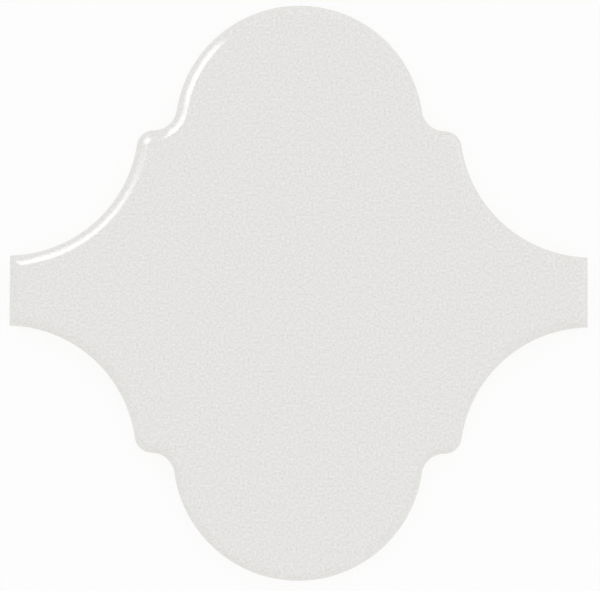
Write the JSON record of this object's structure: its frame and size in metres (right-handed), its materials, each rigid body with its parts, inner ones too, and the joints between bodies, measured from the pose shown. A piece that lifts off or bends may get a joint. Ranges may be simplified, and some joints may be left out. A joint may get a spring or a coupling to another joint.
{
  "type": "arabesque ceramic wall tile",
  "caption": "Flat glazed wall tile with an interlocking arabesque outline: round lobes, concave flanks, small cusps, flat ends, a rounded face edge and a keyed back.",
  "frame": {"origin": "middle of the back, on the surface that the tile lies on", "axes": "+Z out of the glazed face, +X towards one flat end, +Y towards the crown of one lobe"},
  "size_m": [0.12, 0.1196, 0.0085],
  "materials": {
    "glazed_clay": "gloss"
  },
  "bodies": {
    "root": {"tile": "glazed_clay"}
  },
  "joints": []
}
